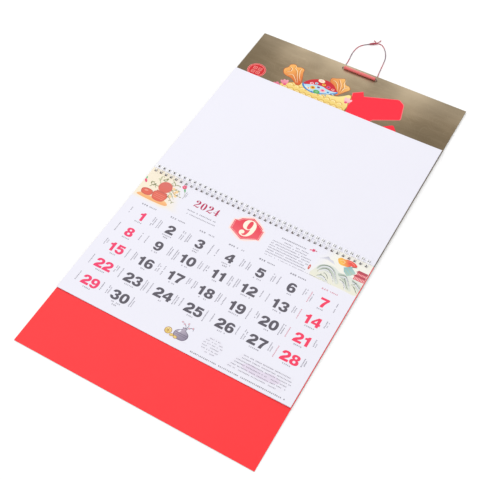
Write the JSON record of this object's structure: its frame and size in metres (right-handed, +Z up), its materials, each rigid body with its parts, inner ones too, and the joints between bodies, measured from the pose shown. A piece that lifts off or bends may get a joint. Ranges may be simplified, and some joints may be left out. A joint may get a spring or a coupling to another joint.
{
  "type": "wall calendar",
  "caption": "Wire-bound wall calendar of two long card boards and month sheets, with earlier sheets turned up and a cord loop to hang it by.",
  "frame": {"origin": "on the surface the calendar lies on, midway along and under the binding wire, at the middle of the calendar's width and length", "axes": "+X across the calendar to the right as read, +Y from the binding towards the hanging loop, +Z up out of the printed face"},
  "size_m": [0.3456, 0.7296, 0.0107],
  "materials": {
    "gold_foil_card": "satin metallic foil laminated on card",
    "red_card": "smooth coated red card",
    "white_wire": "white nylon coated steel wire",
    "page_paper": "smooth coated paper with print",
    "red_plastic": "glossy red tube",
    "red_cord": "twisted thin cord"
  },
  "bodies": {
    "head": {"head_board": "gold_foil_card", "binding_wire": "white_wire", "hanger_sleeve": "red_plastic", "hanging_cord": "red_cord", "cord_knot": "red_cord"},
    "base": {"base_board": "red_card"},
    "turned_pages": {"turned_pages": "page_paper"},
    "later_pages": {"later_pages": "page_paper"},
    "front_page": {"front_page": "page_paper"}
  },
  "joints": [
    {"name": "turned_pages_turn", "type": "hinge", "parent": "head", "child": "turned_pages", "pos_m": [0, 0, 0.00541], "axis": [1, 0, 0], "range_deg": [0, 180]},
    {"name": "base_board_fold", "type": "hinge", "parent": "head", "child": "base", "pos_m": [0, 0, 0.00541], "axis": [-1, 0, 0], "range_deg": [0, 180]},
    {"name": "later_pages_turn", "type": "hinge", "parent": "base", "child": "later_pages", "pos_m": [0, 0, 0.00541], "axis": [-1, 0, 0], "range_deg": [0, 180]},
    {"name": "front_page_turn", "type": "hinge", "parent": "later_pages", "child": "front_page", "pos_m": [0, 0, 0.00541], "axis": [-1, 0, 0], "range_deg": [0, 180]}
  ]
}
